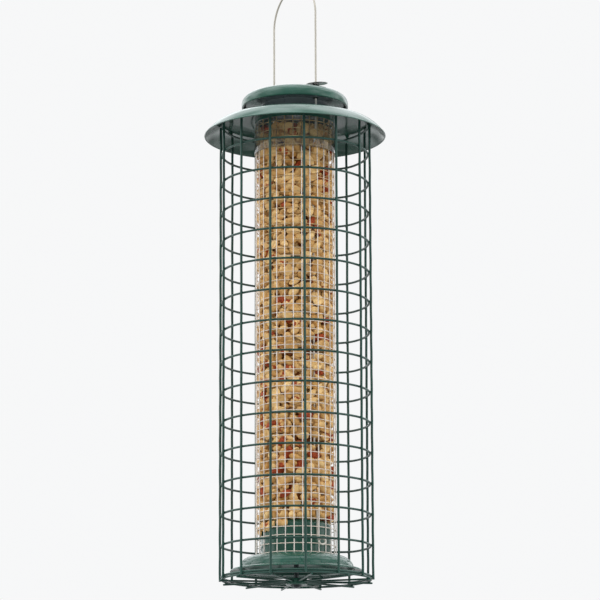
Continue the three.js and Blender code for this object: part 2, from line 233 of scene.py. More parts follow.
def section(line):
    """The closed outline of the sheet steel along a line, with round edges."""
    line = np.asarray(line, float)
    along = np.gradient(line, axis=0)
    along /= np.linalg.norm(along, axis=1)[:, None]
    side = np.stack([-along[:, 1], along[:, 0]], 1)
    half = SHEET / 2
    turns = np.linspace(0, math.pi, 6)[1:-1]
    end = [line[-1] + half * (side[-1] * math.cos(t) + along[-1] * math.sin(t)) for t in turns]
    start = [line[0] - half * (side[0] * math.cos(t) + along[0] * math.sin(t)) for t in turns]
    return np.array([*(line + half * side), *end, *(line - half * side)[::-1], *start])


def covering(line):
    """The outline of a sheet that starts on the feeder's axis."""
    outline = section(line)
    outline[:, 0] = np.clip(outline[:, 0], 0, None)
    return outline


def lathe(outline, segments=144, at=(0, 0)):
    """A solid of revolution about a vertical, from a closed (radius, height) outline."""
    outline = np.asarray(outline, float)
    on_axis = outline[:, 0] < 1e-7
    points, index = [], []
    for (radius, height), pole in zip(outline, on_axis):
        if pole:
            index.append([len(points)] * segments)
            points.append([at[0], at[1], height])
            continue
        index.append(list(range(len(points), len(points) + segments)))
        for j in range(segments):
            angle = 2 * math.pi * j / segments
            x, y = polar(radius, angle)
            points.append([at[0] + x, at[1] + y, height])
    faces = []
    for i in range(len(outline)):
        a, b = index[i], index[(i + 1) % len(outline)]
        if on_axis[i] and on_axis[(i + 1) % len(outline)]:
            continue
        for j in range(segments):
            k = (j + 1) % segments
            face = []
            for v in (a[j], b[j], b[k], a[k]):
                if v not in face:
                    face.append(v)
            faces.append(face)
    return points, faces


def spline(points, steps):
    """A smooth route through the points."""
    p = np.asarray(points, float)
    p = np.concatenate([[2 * p[0] - p[1]], p, [2 * p[-1] - p[-2]]])
    t = np.linspace(0, 1, steps, endpoint=False)[:, None]
    result = []
    for a, b, c, d in zip(p, p[1:], p[2:], p[3:]):
        result.append(0.5 * (2 * b + (c - a) * t + (2 * a - 5 * b + 4 * c - d) * t ** 2
                             + (3 * b - a - 3 * c + d) * t ** 3))
    return np.concatenate([*result, [p[-2]]])


# ---- Materials ----
class Finish:
    """A material and short ways to add nodes to it."""

    def __init__(self, name, **sockets):
        self.material = bpy.data.materials.new(name)
        self.material.use_nodes = True
        self.tree = self.material.node_tree
        self.shader = self.tree.nodes["Principled BSDF"]
        for key, value in sockets.items():
            self.shader.inputs[key.replace("_", " ")].default_value = value
        self.place = self.node("ShaderNodeTexCoord").outputs["Object"]

    def node(self, kind, **settings):
        node = self.tree.nodes.new(kind)
        for key, value in settings.items():
            setattr(node, key, value)
        return node

    def link(self, source, target):
        self.tree.links.new(source, target)

    def noise(self, scale, detail=3.0, roughness=0.55, stretch=None):
        node = self.node("ShaderNodeTexNoise")
        node.inputs["Scale"].default_value = scale
        node.inputs["Detail"].default_value = detail
        node.inputs["Roughness"].default_value = roughness
        place = self.place
        if stretch:
            mapping = self.node("ShaderNodeMapping")
            mapping.inputs["Scale"].default_value = stretch
            self.link(place, mapping.inputs["Vector"])
            place = mapping.outputs["Vector"]
        self.link(place, node.inputs["Vector"])
        return node.outputs["Fac"]

    def ramp(self, value, low, high, low_at=0.3, high_at=0.7):
        """From low to high as value goes from low_at to high_at."""
        node = self.node("ShaderNodeMapRange")
        ends = {"From Min": low_at, "From Max": high_at, "To Min": low, "To Max": high}
        for key, number in ends.items():
            node.inputs[key].default_value = number
        self.link(value, node.inputs["Value"])
        return node.outputs["Result"]

    def math(self, operation, a, b):
        node = self.node("ShaderNodeMath", operation=operation)
        for socket, value in zip(node.inputs, (a, b)):
            if isinstance(value, (int, float)):
                socket.default_value = value
            else:
                self.link(value, socket)
        return node.outputs["Value"]

    def mix(self, amount, a, b):
        """Colour a where amount is 0 and colour b where it is 1."""
        node = self.node("ShaderNodeMix", data_type="RGBA")
        self.link(amount, node.inputs["Factor"])
        for name, value in (("A_Color", a), ("B_Color", b)):
            socket = next(s for s in node.inputs if s.identifier == name)
            if isinstance(value, tuple):
                socket.default_value = (*value, 1)
            else:
                self.link(value, socket)
        return next(s for s in node.outputs if s.identifier == "Result_Color")

    def colour(self, source):
        self.link(source, self.shader.inputs["Base Color"])

    def roughness(self, source):
        self.link(source, self.shader.inputs["Roughness"])

    def bump(self, *layers):
        """Each layer is a height source, its strength and its depth in metres."""
        normal = None
        for source, strength, depth in layers:
            node = self.node("ShaderNodeBump")
            node.inputs["Strength"].default_value = strength
            node.inputs["Distance"].default_value = depth
            self.link(source, node.inputs["Height"])
            if normal:
                self.link(normal, node.inputs["Normal"])
            normal = node.outputs["Normal"]
        self.link(normal, self.shader.inputs["Normal"])

    def facing_up(self):
        geometry = self.node("ShaderNodeNewGeometry")
        split = self.node("ShaderNodeSeparateXYZ")
        self.link(geometry.outputs["Normal"], split.inputs["Vector"])
        return split.outputs["Z"]


def scaled(colour, by):
    return tuple(c * by for c in colour)


def powder_coat(name, colour, rough, gloss):
    finish = Finish(name, Coat_Weight=gloss, Coat_Roughness=0.05, Specular_IOR_Level=0.5)
    tone = finish.noise(28, 4)
    base = finish.mix(finish.ramp(tone, 0, 1), scaled(colour, 0.82), scaled(colour, 1.2))
    dust = finish.math("MULTIPLY", finish.ramp(finish.facing_up(), 0, 1, 0.55, 1.0),
                       finish.ramp(finish.noise(140, 5, 0.7), 0.0, 0.16, 0.45, 0.75))
    finish.colour(finish.mix(dust, base, (0.3, 0.31, 0.27)))
    smudge = finish.ramp(finish.noise(55, 5, 0.6), rough - 0.05, rough + 0.1)
    finish.roughness(finish.math("ADD", smudge, finish.math("MULTIPLY", dust, 0.5)))
    peel, grain = finish.noise(300, 2, 0.5), finish.noise(1900, 1, 0.4)
    finish.bump((peel, 0.1, 0.00016), (grain, 0.08, 0.00003))
    return finish.material


def zinc(name, colour, rough, metal=1.0, height_bands=()):
    """Galvanised or bright steel. Each height band is two heights and the colour painted above them;
    the calls use them for painted shade, for a painted highlight and for a plain darker grey, as
    noted at each call.
    """
    finish = Finish(name, Metallic=metal)
    cells = finish.node("ShaderNodeTexVoronoi")
    cells.inputs["Scale"].default_value = 420
    finish.link(finish.place, cells.inputs["Vector"])
    spangle = finish.node("ShaderNodeSeparateColor")
    finish.link(cells.outputs["Color"], spangle.inputs["Color"])
    base = finish.mix(finish.ramp(finish.noise(90, 5, 0.65), 0, 1), scaled(colour, 0.8), colour)
    base = finish.mix(finish.ramp(spangle.outputs["Red"], 0, 0.35, 0, 1), base, scaled(colour, 1.08))
    split = finish.node("ShaderNodeSeparateXYZ")
    finish.link(finish.place, split.inputs["Vector"])
    # Colour bands by height: painted shade or a painted highlight where the calls say so.
    for start, end, band_colour in height_bands:
        base = finish.mix(finish.ramp(split.outputs["Z"], 0, 1, start, end), base, band_colour)
    finish.colour(base)
    finish.roughness(finish.ramp(finish.noise(160, 4, 0.6), rough - 0.08, rough + 0.14))
    finish.bump((finish.noise(900, 3, 0.6), 0.22, 0.00006), (finish.noise(250, 2), 0.2, 0.00012))
    return finish.material


def moulded_plastic():
    finish = Finish("dark_plastic", Specular_IOR_Level=0.45)
    tone = finish.ramp(finish.noise(120, 3), 0, 1)
    finish.colour(finish.mix(tone, (0.010, 0.014, 0.012), (0.022, 0.03, 0.026)))
    finish.roughness(finish.ramp(finish.noise(300, 4), 0.34, 0.52))
    finish.bump((finish.noise(1500, 2), 0.15, 0.00005))
    return finish.material


def clear_sheet():
    finish = Finish("clear_plastic", Transmission_Weight=0.97, IOR=1.46, Specular_IOR_Level=0.6)
    tone = finish.ramp(finish.noise(30, 4), 0, 1)
    finish.colour(finish.mix(tone, (0.9, 0.93, 0.92), (0.97, 0.98, 0.97)))
    finish.roughness(finish.ramp(finish.noise(60, 4, 0.65), 0.01, 0.09, 0.45, 0.85))
    waves = finish.noise(38, 2, 0.5, (1, 1, 0.5))
    finish.bump((waves, 0.3, 0.0008), (finish.noise(400, 3), 0.05, 0.0001))
    return finish.material


def peanut():
    """Shelled kernels, some with their red skin, by two values kept on each."""
    finish = Finish("peanuts", Specular_IOR_Level=0.3)
    tone = finish.node("ShaderNodeAttribute", attribute_name="tone").outputs["Fac"]
    skin = finish.node("ShaderNodeAttribute", attribute_name="skin").outputs["Fac"]
    flesh = finish.mix(tone, (0.84, 0.60, 0.28), (0.46, 0.24, 0.065))
    blotch = finish.ramp(finish.noise(230, 4, 0.6), 0, 0.6, 0.52, 0.7)
    flesh = finish.mix(blotch, flesh, (0.52, 0.22, 0.055))
    grain = finish.ramp(finish.noise(600, 4, 0.6), 0, 1)
    husk = finish.mix(grain, (0.12, 0.016, 0.006), (0.5, 0.095, 0.026))
    torn = finish.math("ADD", skin, finish.ramp(finish.noise(170, 3), -0.45, 0.45, 0.3, 0.7))
    finish.colour(finish.mix(finish.ramp(torn, 0, 1, 0.44, 0.56), flesh, husk))
    finish.roughness(finish.ramp(finish.noise(300, 3), 0.45, 0.7))
    finish.bump((finish.noise(480, 4, 0.6), 0.4, 0.0003), (finish.noise(1700, 3, 0.6), 0.25, 0.00007))
    return finish.material


def shaded_nut_core():
    """The mass of nuts deep behind the kernels, in near-black and dark brown patches: painted shade
    between the kernels.
    """
    finish = Finish("shaded_nut_core", Specular_IOR_Level=0.15)
    shade_patches = finish.ramp(finish.noise(230, 5, 0.7), 0, 1, 0.4, 0.6)
    finish.colour(finish.mix(shade_patches, (0.05, 0.013, 0.004), (0.34, 0.11, 0.025)))
    finish.roughness(finish.ramp(finish.noise(300, 3), 0.7, 0.9))
    finish.bump((finish.noise(500, 5, 0.7), 0.7, 0.0009))
    return finish.material


WIRE_GREEN = powder_coat("green_wire", (0.011, 0.047, 0.036), 0.38, 0.06)
SHEET_GREEN = powder_coat("green_sheet", (0.014, 0.072, 0.05), 0.2, 0.5)
LINER_GREEN = powder_coat("green_liner", (0.12, 0.15, 0.165), 0.25, 0.5)
# The mesh uprights turn dull brown above the sleeve's lower edge: painted shade under the roof.
GALVANISED = zinc("galvanised_wire", (0.98, 0.91, 0.85), 0.28, 0.45,
                  [(RING_Z + 0.443, RING_Z + 0.446, (0.48, 0.35, 0.19))])
# The mesh rows grow darker and browner towards the top: painted shade under the roof.
GALVANISED_ROW = zinc("galvanised_row", (0.78, 0.69, 0.60), 0.34, 0.4,
                      [(RING_Z + 0.27, RING_Z + 0.36, (0.64, 0.45, 0.22))])
# The hanging wire is near-white from just above the roof: a painted highlight on its stretch between
# roof and lid. From the lid up it turns a darker grey.
GALVANISED_BAIL = zinc("galvanised_bail", (0.62, 0.58, 0.52), 0.3, 0.3, [
    (RING_Z + 0.48, RING_Z + 0.485, (1.0, 0.98, 0.93)),
    (RING_Z + 0.505, RING_Z + 0.515, (0.48, 0.45, 0.4)),
])
DARK_STEEL = zinc("dark_steel", (0.15, 0.16, 0.17), 0.32)
STEEL = zinc("bright_steel", (0.6, 0.57, 0.56), 0.28, 0.8)
PLASTIC = moulded_plastic()
CLEAR = clear_sheet()
PEANUT = peanut()
SHADED_NUT_CORE = shaded_nut_core()


# ---- Cage ----
def weld(shape, place, outward, size):
    """The low collar of metal squeezed out where two wires are welded."""
    rings, sides = 5, 10
    outward = np.array(outward, float)
    sidewise = np.cross([0, 0, 1.0], outward)
    points = []
    for i in range(rings):
        polar = math.pi * (i + 0.5) / rings
        for j in range(sides):
            turn = 2 * math.pi * j / sides
            points.append(np.array(place)
                          + outward * size[0] * math.cos(polar)
                          + sidewise * size[1] * math.sin(polar) * math.cos(turn)
                          + np.array([0, 0, 1.0]) * size[2] * math.sin(polar) * math.sin(turn))
    ends = [list(range(sides)), list(range((rings - 1) * sides, rings * sides))]
    shape.add(points, grid(rings, sides) + ends)


def ring_heights():
    """The level of each ring's wire. All but the top ring are lapped upward."""
    heights = [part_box(f"cage_ring_{i + 1:02d}")[0].z + RING_GAUGE / 2 for i in range(RINGS - 1)]
    return [*heights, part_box(f"cage_ring_{RINGS}")[1].z - RING_GAUGE / 2]


def make_cage():
    bearings = [bearing(f"cage_upright_{i:02d}") for i in range(1, UPRIGHTS + 1)]
    step = (bearings[1] - bearings[0]) % (2 * math.pi)
    lap = 2 * math.pi - (UPRIGHTS - 1) * step
    heights = ring_heights()
    for i, height in enumerate(heights):
        node = f"cage_ring_{i + 1:02d}"
        low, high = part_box(node)
        rise = (high.z - low.z - RING_GAUGE - 0.25 * MM) * (-1 if i == RINGS - 1 else 1)
        start, sweep = bearings[0] - lap, 2 * math.pi + lap
        route = arc(RING_RADIUS, height, start, sweep, 220)
        turned = np.linspace(0, sweep, len(route))
        t = np.clip((turned - (2 * math.pi - 1.4 * lap)) / (1.35 * lap), 0, 1)
        route[:, 2] += rise * smooth(t)
        wobble = CAGE_WAVE * np.sin(turned * UPRIGHTS * 0.5 + i * 1.7)
        route[:, :2] *= (1 + wobble / RING_RADIUS)[:, None]
        wire = tube(route, RING_GAUGE)
        piece(f"ring_wire_{i + 1:02d}", wire, BODY, WIRE_GREEN, [node])
    for i, angle in enumerate(bearings):
        node = f"cage_upright_{i + 1:02d}"
        low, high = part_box(node)
        outward = (*polar(1, angle), 0)
        along = np.linspace(low.z + 0.3 * MM, high.z - 0.3 * MM, 60)
        bow = UPRIGHT_RADIUS + CAGE_WAVE * np.sin(along * 190 + i * 2.1)
        route = np.stack([bow * outward[0], bow * outward[1], along], 1)
        shape = Shape().add(*tube(route, UPRIGHT_GAUGE, 14))
        meet = RING_RADIUS + RING_GAUGE / 2
        for z in heights:
            weld(shape, (*polar(meet, angle), z), outward, UPRIGHT_WELD)
        piece(f"upright_wire_{i + 1:02d}", shape, BODY, WIRE_GREEN, [node])


def make_cage_floor():
    low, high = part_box("floor_rim")
    height = (low.z + high.z) / 2
    route = arc(RING_RADIUS, height, bearing("cage_upright_01"), 2 * math.pi - 0.012, 200)
    shape = Shape().add(*tube(route, RING_GAUGE))
    angles = [bearing(f"floor_spoke_{i:02d}") for i in range(1, SPOKES + 1)]
    spoke_z = centre("floor_spoke_01").z
    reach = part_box("floor_spoke_01")
    outer = max(math.hypot(x, y) for x in (reach[0].x, reach[1].x) for y in (reach[0].y, reach[1].y))
    hub_radius, hub_low, hub_high = extent("floor_hub")
    for angle in angles:
        outward = (*polar(1, angle), 0)
        weld(shape, (*polar(RING_RADIUS, angle), height - RING_GAUGE / 2), outward, RIM_WELD)
    piece("floor_rim_wire", shape, BODY, WIRE_GREEN, ["floor_rim"])
    for i, angle in enumerate(angles):
        radii = np.linspace(hub_radius - 0.4 * MM, outer - 1.0 * MM, 12)
        route = [[*polar(r, angle), spoke_z + 0.1 * MM] for r in radii]
        wire, node = tube(route, SPOKE_GAUGE), f"floor_spoke_{i + 1:02d}"
        piece(f"spoke_wire_{i + 1:02d}", wire, BODY, WIRE_GREEN, [node])
    recess, recess_top = 7 * MM, hub_low + 0.8 * MM
    outline = rounded([
        (BOLT_BORE, recess_top), (recess, recess_top), (recess, hub_low), (hub_radius, hub_low),
        (hub_radius, hub_high), (BOLT_BORE, hub_high),
    ], [0.15 * MM, 0.2 * MM, 0.25 * MM, 1.0 * MM, 1.2 * MM, 0.15 * MM], closed=True)
    piece("floor_boss", lathe(outline, 96), BODY, SHEET_GREEN, ["floor_hub"])


# ---- Base ----
BELL_DOME = 59 * MM  # radius where the dome meets the flange
BELL_SHOULDER = 42.7 * MM  # radius of its flat top
BELL_RISE = 12.7 * MM  # from that foot up to the top
THREAD_PITCH = 0.8 * MM


def quarter(centre_radius, centre_height, across, up, count):
    """A quarter of an ellipse, from its top out to its side."""
    turn = np.linspace(math.pi / 2, 0, count + 1)
    return [(centre_radius + across * math.cos(t), centre_height + up * math.sin(t)) for t in turn]


def make_bell():
    flange, rim, top = extent("base_bell")
    foot = top - BELL_RISE
    half = SHEET / 2
    line = [
        (BOLT_BORE, top - half), (BELL_SHOULDER - 4 * MM, top - half),
        *quarter(BELL_SHOULDER, foot, BELL_DOME - BELL_SHOULDER - half, top - foot - half, 14),
        (BELL_DOME + 1.2 * MM, foot - 0.7 * MM), (flange - 2.2 * MM, foot - 1.3 * MM),
        (flange - half, foot - 2 * MM), (flange - half, rim + 0.4 * MM),
    ]
    outline = section(rounded(line, 1.1 * MM, 4))
    piece("bell", lathe(outline), BODY, SHEET_GREEN, ["base_bell"])


def make_plug():
    radius, low, high = extent("tube_plug")
    half = SHEET / 2
    line = rounded([
        (radius - half, low + 0.1 * MM), (radius - half, high - 3.6 * MM),
        (radius - 3.4 * MM, high - half), (BOLT_BORE, high - half),
    ], [0, 3 * MM, 3 * MM, 0], 6)
    piece("plug", lathe(section(line)), BODY, SHEET_GREEN, ["tube_plug"])


def make_bolt():
    head, low, high = extent("base_bolt")
    stem, depth = 2.45 * MM, 0.35 * MM
    underhead = high - 3.2 * MM
    turns = np.arange(low + 0.8 * MM, low + 9 * MM, THREAD_PITCH / 2)
    thread = [(stem - (depth if i % 2 else 0), z) for i, z in enumerate(turns)]
    outline = [
        (0, low), (stem - 0.5 * MM, low), *thread, (stem, turns[-1] + 0.5 * MM), (stem, underhead),
        (head - 0.3 * MM, underhead), (head, underhead + 0.3 * MM),
        (head - 0.5 * MM, high - 1.6 * MM), (head * 0.6, high - 0.4 * MM), (0, high),
    ]
    piece("bolt", lathe(outline, 48), BODY, DARK_STEEL, ["base_bolt"], 50)


def make_nut():
    low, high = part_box("base_nut")
    across = (high.x - low.x) / 2
    bore = 24  # points round the hole
    bm = bmesh.new()

    def circle(radius, count, z):
        return [bm.verts.new((*polar(radius, t), z)) for t in around(count)]

    bottom, top = circle(across, 6, low.z), circle(across, 6, high.z)
    low_hole, high_hole = circle(BOLT_BORE, bore, low.z), circle(BOLT_BORE, bore, high.z)
    per = bore // 6
    for i in range(6):
        k = (i + 1) % 6
        bm.faces.new([bottom[i], bottom[k], top[k], top[i]])
        for outer, inner in ((bottom, low_hole), (top, high_hole)):
            arc_points = [inner[(i * per + j) % bore] for j in range(per + 1)]
            bm.faces.new([outer[i], outer[k], *reversed(arc_points)])
    for i in range(bore):
        k = (i + 1) % bore
        bm.faces.new([low_hole[i], high_hole[i], high_hole[k], low_hole[k]])
    bmesh.ops.recalc_face_normals(bm, faces=bm.faces)
    edges = [e for e in bm.edges if e.calc_face_angle(0) > 0.6]
    bmesh.ops.bevel(bm, geom=edges, offset=0.22 * MM, segments=2, affect="EDGES")
    data = bpy.data.meshes.new("hex_nut")
    bm.to_mesh(data)
    bm.free()
    piece("hex_nut", data, BODY, DARK_STEEL, ["base_nut"], 40)


# ---- Nut tube ----
LEG_X = centre("lid_guide_front").x
MESH_WIRE = 1.05 * MM
MESH_UPRIGHTS = 29
MESH_ROW = 8.5 * MM
MESH_FIRST = math.radians(-37)  # bearing of the first upright
MESH_EDGE = 0.6 * MM  # from the mesh's lower edge to its first row
MESH_LAP = 0.16  # radians by which a row's ends pass each other


def make_mesh_tube():
    radius, low, high = extent("mesh_tube")
    outer = radius - MESH_WIRE / 2
    inner = outer - MESH_WIRE + 0.2 * MM
    shape = Shape()
    for i in range(MESH_UPRIGHTS):
        angle = MESH_FIRST + 2 * math.pi * i / MESH_UPRIGHTS
        heights = np.linspace(low + 0.2 * MM, high - 0.2 * MM, 56)
        bow = 0.1 * MM * np.sin(heights * 370 + i * 2.4)
        side = angle + 0.0035 * np.sin(heights * 61 + i * 1.3)
        route = np.stack([(outer + bow) * np.cos(side), (outer + bow) * np.sin(side), heights], 1)
        shape.add(*tube(route, MESH_WIRE, 8))
    piece("mesh_uprights", shape, BODY, GALVANISED, ["mesh_tube"])
    shape = Shape()
    rows = int((high - low - MESH_EDGE) / MESH_ROW) + 1
    back = MESH_FIRST + math.pi
    for i in range(rows):
        z = low + MESH_EDGE + i * MESH_ROW
        route = arc(inner, z, back, 2 * math.pi + MESH_LAP, 124)
        turned = np.linspace(0, 2 * math.pi + MESH_LAP, len(route))
        lapped = np.clip((turned - 2 * math.pi) / (MESH_LAP / 2), 0, 1)
        route[:, 2] += 0.12 * MM * np.sin(turned * 5 + i * 2.9) + 0.8 * MM * lapped
        shape.add(*tube(route, MESH_WIRE * 0.92, 8))
    piece("mesh_rows", shape, BODY, GALVANISED_ROW)


def make_clear_sleeve():
    radius, low, high = extent("clear_sleeve")
    wall = 0.7 * MM
    corners = [(radius - wall, low), (radius, low), (radius, high), (radius - wall, high)]
    outline = rounded(corners, 0.2 * MM, 3, closed=True)
    piece("sleeve", lathe(outline, 160), BODY, CLEAR, ["clear_sleeve"])


# ---- Peanuts ----
KERNELS, HEAP = 2350, 64  # packed along the mesh, and heaped at the top
PACKED_FROM = 24 * MM  # kernels along the mesh are packed from this radius out
SHOWN_FROM = 26.5 * MM  # and kept from this one, where they can still be seen
HEAP_RADIUS, HEAP_DEPTH = 28 * MM, 13 * MM
CORE_RADIUS, CORE_BELOW = 28.6 * MM, 9 * MM  # the mass behind them, and how far it ends below
SHARES = {"whole": 0.38, "half": 0.4, "broken": 0.22}
SEMI_AXES = {"whole": (6.9, 3.95, 3.7), "half": (6.9, 4.3, 4.3), "broken": (6.4, 4.3, 4.2),
             "thin": (5.6, 4.0, 2.6)}  # in millimetres
SKINNED, TORN = 0.12, 0.08  # shares of kernels with all and with some of their red skin
LOOSE, LOOSE_FROM = 15, math.radians(-34)  # halves beside the plug, and their first bearing
LAYERS = 5  # pieces that the kernels are shared over, by height

# While they are packed, each kernel is three beads in a row.
BEADS = np.array([-3.2, 0, 3.2]) * MM
GIRTH = np.array([3.0, 3.55, 3.0]) * MM
TOUCHING = 14.5 * MM  # kernels further apart than this don't touch
ROUNDS, RECOUNT = 90, 10  # rounds of pushing, and how often neighbours are looked for
CHUNK = 256  # kernels whose neighbours are found together
FEWEST = 5  # a kernel with fewer contacts moves as if it had this many
PUSH, TWIST, WALL_PUSH = 1.6, 9e4, 1.5


def kernel_forms(rng):
    """Unit kernels, long axis X, by kind: whole, half and broken."""
    across, along = 16, 11
    stations = np.cos(np.linspace(math.pi, 0, along + 2)[1:-1])
    sphere = [(-1, 0, 0)]
    for x in stations:
        r = math.sqrt(1 - x * x)
        sphere += [(x, r * math.cos(t), r * math.sin(t)) for t in around(across)]
    sphere.append((1, 0, 0))
    sphere = np.array(sphere, float)
    faces = [[0, 1 + (j + 1) % across, 1 + j] for j in range(across)]
    faces += [[1 + v for v in face] for face in grid(along, across)]
    end, last = len(sphere) - 1, 1 + (along - 1) * across
    faces += [[last + j, last + (j + 1) % across, end] for j in range(across)]

    def lumpy(p, amount):
        for _ in range(3):
            direction = rng.normal(size=3)
            direction /= np.linalg.norm(direction)
            p = p * (1 + amount * np.sin(2.6 * p @ direction + rng.uniform(0, 6)))[:, None]
        return p

    forms = {"whole": [], "half": [], "broken": []}
    for _ in range(5):
        p = sphere.copy()
        taper = 1 - rng.uniform(0.08, 0.22) * p[:, 0]
        crease = 1 - 0.07 * np.exp(-((sphere[:, 2]) / 0.16) ** 2)
        p[:, 1] *= taper * crease
        p[:, 2] *= taper * crease
        p[:, 0] += 0.14 * np.clip(sphere[:, 0], 0, 1) ** 8
        forms["whole"].append(lumpy(p, 0.05))
    for _ in range(5):
        p = sphere.copy()
        taper = 1 - rng.uniform(0.05, 0.2) * p[:, 0]
        p[:, 1] *= taper
        p[:, 2] *= taper
        flat = p[:, 2] < 0
        hollow = 0.16 * np.clip(1 - (sphere[:, 1] ** 2) * 1.6 - sphere[:, 0] ** 2, 0, 1)
        p[flat, 2] = -0.10 * np.sqrt(np.clip(-p[flat, 2], 0, 1)) + hollow[flat]
        p[:, 2] -= 0.42
        chip, slant = rng.uniform(0.45, 0.9), rng.uniform(-0.5, 0.5)
        limit = chip + slant * p[:, 1]
        p[:, 0] = np.where(p[:, 0] > limit, limit + 0.12 * (p[:, 0] - limit), p[:, 0])
        forms["half"].append(lumpy(p, 0.05))
    for _ in range(6):
        p = sphere.copy()
        for _ in range(3):
            normal = rng.normal(size=3) * [1, 0.8, 0.8]
            normal /= np.linalg.norm(normal)
            over = p @ normal - rng.uniform(0.25, 0.7)
            p = np.where(over[:, None] > 0, p - 0.9 * over[:, None] * normal, p)
        p[:, 0] += 0.15
        forms["broken"].append(lumpy(p, 0.07))
    return forms, faces


def settle(rng, count, radius, hollow, low, high):
    """Places, long axes and sizes of kernels pushed apart between two radii and two heights."""
    turn = rng.uniform(0, 2 * math.pi, count)
    r = np.sqrt(rng.uniform(hollow ** 2, radius ** 2, count))
    place = np.stack([r * np.cos(turn), r * np.sin(turn), rng.uniform(low, high, count)], 1)
    radial = place * [1, 1, 0]
    radial /= np.linalg.norm(radial, axis=1)[:, None]
    sidewise = np.stack([-radial[:, 1], radial[:, 0], np.zeros(count)], 1)
    tilt = rng.normal(0, 0.32, count)
    axis = sidewise * np.cos(tilt)[:, None] + np.array([0, 0, 1.0]) * np.sin(tilt)[:, None]
    axis += radial * rng.normal(0, 0.35, count)[:, None]
    axis /= np.linalg.norm(axis, axis=1)[:, None]
    size = rng.uniform(0.88, 1.12, count)
    for step in range(ROUNDS):
        if step % RECOUNT == 0:
            near = []
            for i in range(0, count, CHUNK):
                gap = np.linalg.norm(place[i:i + CHUNK, None] - place[None], axis=2)
                a, b = np.nonzero(gap < TOUCHING)
                a = a + i
                near.append(np.stack([a[a < b], b[a < b]], 1))
            a, b = np.concatenate(near).T
        push = np.zeros_like(place)
        twist = np.zeros_like(place)
        hits = np.ones(count)
        bead = place[:, None] + axis[:, None] * (BEADS[None, :, None] * size[:, None, None])
        fat = GIRTH[None] * size[:, None]
        for m in range(3):
            for n in range(3):
                apart = bead[a, m] - bead[b, n]
                gap = np.linalg.norm(apart, axis=1) + 1e-9
                over = fat[a, m] + fat[b, n] - gap
                hit = over > 0
                shove = (0.5 * over[hit] / gap[hit])[:, None] * apart[hit]
                for who, at, way in ((a[hit], m, shove), (b[hit], n, -shove)):
                    np.add.at(push, who, way)
                    np.add.at(twist, who, way * BEADS[at])
                    np.add.at(hits, who, 1)
        for m in range(3):
            centre_line = bead[:, m]
            out = np.hypot(centre_line[:, 0], centre_line[:, 1]) + 1e-9
            level = centre_line * [1, 1, 0] / out[:, None]
            inward = np.clip(out - (radius - fat[:, m]), 0, None) - np.clip(hollow - out, 0, None)
            shove = -level * inward[:, None]
            shove[:, 2] += np.clip(low + fat[:, m] - centre_line[:, 2], 0, None)
            shove[:, 2] -= np.clip(centre_line[:, 2] + fat[:, m] - high, 0, None)
            push += shove * WALL_PUSH
            twist += shove * BEADS[m] * WALL_PUSH
        place += push * (PUSH / np.maximum(hits, FEWEST))[:, None]
        twist -= axis * np.sum(twist * axis, 1)[:, None]
        axis += twist * TWIST
        axis /= np.linalg.norm(axis, axis=1)[:, None]
    return place, axis, size


